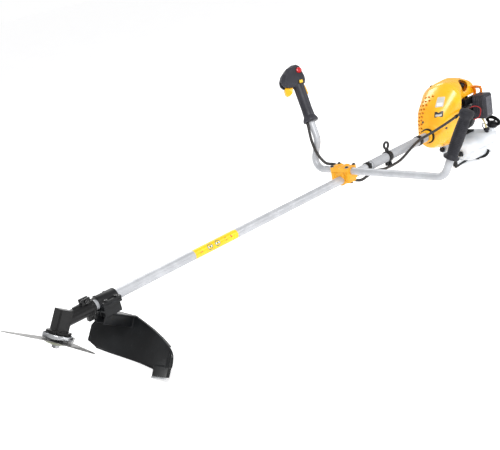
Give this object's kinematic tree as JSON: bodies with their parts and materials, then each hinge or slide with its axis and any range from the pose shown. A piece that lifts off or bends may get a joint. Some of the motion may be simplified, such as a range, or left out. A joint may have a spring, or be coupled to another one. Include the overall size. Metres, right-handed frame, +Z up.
{
  "type": "petrol brush cutter",
  "caption": "Petrol brush cutter with a straight tube boom, U handlebar with throttle grip, bevel-gear blade head with guard, and a small two-stroke engine.",
  "frame": {"origin": "on the floor, under the middle of the engine stand", "axes": "+X from the cutting head to the engine, +Y to the operator's right, +Z up; the boom slopes 2.0 degrees down to the engine because the machine rests on its guard and engine stand"},
  "size_m": [1.9254, 0.6715, 0.5141],
  "materials": {
    "yellow_plastic": "moulded, satin gloss",
    "yellow_casting": "powder coated",
    "black_plastic": "moulded, fine grain",
    "black_metal": "satin black paint",
    "charcoal_rubber": "soft, fine grain",
    "charcoal_plastic": "moulded, satin",
    "light_tube": "silver-grey powder coat",
    "grey_sleeve": "knurled soft sleeve",
    "steel": "ground",
    "blade_steel": "ground, grey",
    "olive_steel": "zinc plated, dull",
    "silver": "machined",
    "casting": "die cast",
    "tank_plastic": "translucent white",
    "fuel_hose": "translucent",
    "red_plastic": "glossy",
    "ceramic": "glazed",
    "exhaust_metal": "heat-resistant paint",
    "rope_fibre": "braided",
    "screw_steel": "blackened"
  },
  "bodies": {
    "root": {"boom_tube": "light_tube", "boom_sleeve": "grey_sleeve", "shaft_bushes": "black_plastic", "gear_case": "black_metal", "ball_bearings": "steel", "guard_clamp": "black_plastic", "guard_shell": "black_plastic", "line_cutter": "steel", "handle_saddle": "yellow_casting", "handle_block": "yellow_casting", "handle_cap": "yellow_casting", "handlebar": "light_tube", "left_grip": "charcoal_rubber", "throttle_grip_left": "charcoal_plastic", "throttle_grip_right": "charcoal_plastic", "throttle_conduit": "black_plastic", "cable_clips": "black_plastic", "harness_hanger": "black_metal", "fan_housing": "yellow_plastic", "crankcase_front": "casting", "crankcase_rear": "casting", "cylinder": "casting", "ignition_coil": "black_plastic", "spark_plug": "ceramic", "plug_boot": "charcoal_rubber", "cylinder_cover": "yellow_plastic", "muffler": "exhaust_metal", "carburettor": "casting", "air_filter_base": "black_plastic", "fuel_tank": "tank_plastic", "fuel_lines": "fuel_hose", "starter_housing": "black_plastic", "engine_stand": "black_metal", "fasteners": "screw_steel", "starter_rope": "rope_fibre"},
    "cutter": {"blade": "blade_steel", "blade_adapter": "silver", "cup_washer": "olive_steel", "blade_nut": "steel", "output_spindle": "steel", "driven_gear": "steel"},
    "driveline": {"drive_shaft": "steel", "pinion_gear": "steel", "clutch_drum": "steel"},
    "crank": {"crankshaft": "steel", "flywheel": "silver"},
    "shoe_a": {"clutch_shoe_a": "exhaust_metal"},
    "shoe_b": {"clutch_shoe_b": "exhaust_metal"},
    "piston_rod": {"piston": "silver", "connecting_rod": "steel"},
    "trigger": {"throttle_trigger": "yellow_plastic"},
    "lockout": {"trigger_lockout": "yellow_plastic"},
    "stop": {"stop_switch": "red_plastic"},
    "lock": {"lock_button": "yellow_plastic"},
    "choke": {"choke_lever": "black_plastic"},
    "primer": {"primer_bulb": "fuel_hose"},
    "tank_cap": {"fuel_cap": "black_plastic"},
    "pulley": {"starter_pulley": "light_tube"},
    "pull_handle": {"starter_handle": "charcoal_rubber"},
    "filter_lid": {"air_filter_cover": "charcoal_plastic"}
  },
  "joints": [
    {"name": "cutter_spin", "type": "hinge", "parent": "root", "child": "cutter", "pos_m": [-1.69, 0, 0.20149], "axis": [0.5736, 0, 0.8192], "continuous": true},
    {"name": "driveline_spin", "type": "hinge", "parent": "root", "child": "driveline", "pos_m": [-1.69, 0, 0.20149], "axis": [0.9994, 0, -0.0349], "continuous": true},
    {"name": "crank_spin", "type": "hinge", "parent": "root", "child": "crank", "pos_m": [-0.04101, 0, 0.14391], "axis": [0.9994, 0, -0.0349], "continuous": true},
    {"name": "shoe_a_slide", "type": "slide", "parent": "crank", "child": "shoe_a", "axis": [0, 1, 0], "range_m": [0, 0.0006], "stiffness_N_per_m": 2000},
    {"name": "shoe_b_slide", "type": "slide", "parent": "crank", "child": "shoe_b", "axis": [0, -1, 0], "range_m": [0, 0.0006]},
    {"name": "piston_stroke", "type": "slide", "parent": "root", "child": "piston_rod", "axis": [0.0349, 0, 0.9994], "range_m": [-0.03, 0]},
    {"name": "trigger_pull", "type": "hinge", "parent": "root", "child": "trigger", "pos_m": [-0.62022, 0.18653, 0.45686], "axis": [-0.2936, -0.853, 0.4315], "range_deg": [0, 22], "stiffness_Nm_per_rad": 0.05},
    {"name": "lockout_press", "type": "hinge", "parent": "root", "child": "lockout", "pos_m": [-0.58201, 0.1676, 0.44544], "axis": [-0.2936, -0.853, 0.4315], "range_deg": [-8, 0], "stiffness_Nm_per_rad": 0.03},
    {"name": "stop_press", "type": "slide", "parent": "root", "child": "stop", "axis": [0.2936, 0.853, -0.4315], "range_m": [0, 0.003], "stiffness_N_per_m": 300},
    {"name": "lock_slide", "type": "slide", "parent": "root", "child": "lock", "axis": [-0.935, 0.3503, 0.0561], "range_m": [0, 0.0035]},
    {"name": "choke_turn", "type": "hinge", "parent": "root", "child": "choke", "pos_m": [-0.01994, -0.065, 0.23123], "axis": [0, 1, 0], "range_deg": [0, 75]},
    {"name": "primer_press", "type": "slide", "parent": "root", "child": "primer", "axis": [0.0349, 0, 0.9994], "range_m": [0, 0.004], "stiffness_N_per_m": 400},
    {"name": "cap_turn", "type": "hinge", "parent": "root", "child": "tank_cap", "pos_m": [0.08317, -0.084, 0.08954], "axis": [0.0328, -0.342, 0.9391], "range_deg": [0, 360]},
    {"name": "starter_pull", "type": "slide", "parent": "root", "child": "pull_handle", "axis": [0, 1, 0], "range_m": [0, 0.45], "stiffness_N_per_m": 20, "deforming": ["starter_rope"]},
    {"name": "pulley_spin", "type": "hinge", "parent": "root", "child": "pulley", "pos_m": [0.04294, 0, 0.14098], "axis": [0.9994, 0, -0.0349], "range_deg": [-1075, 0]},
    {"name": "filter_lid_off", "type": "slide", "parent": "root", "child": "filter_lid", "axis": [0, -1, 0], "range_m": [0, 0.06]}
  ],
  "couplings": [
    {"joint": "driveline_spin", "follows": "cutter_spin", "ratio": 1.3571},
    {"joint": "shoe_b_slide", "follows": "shoe_a_slide", "ratio": 1},
    {"joint": "pulley_spin", "follows": "starter_pull", "rad_per_m": -41.667}
  ]
}
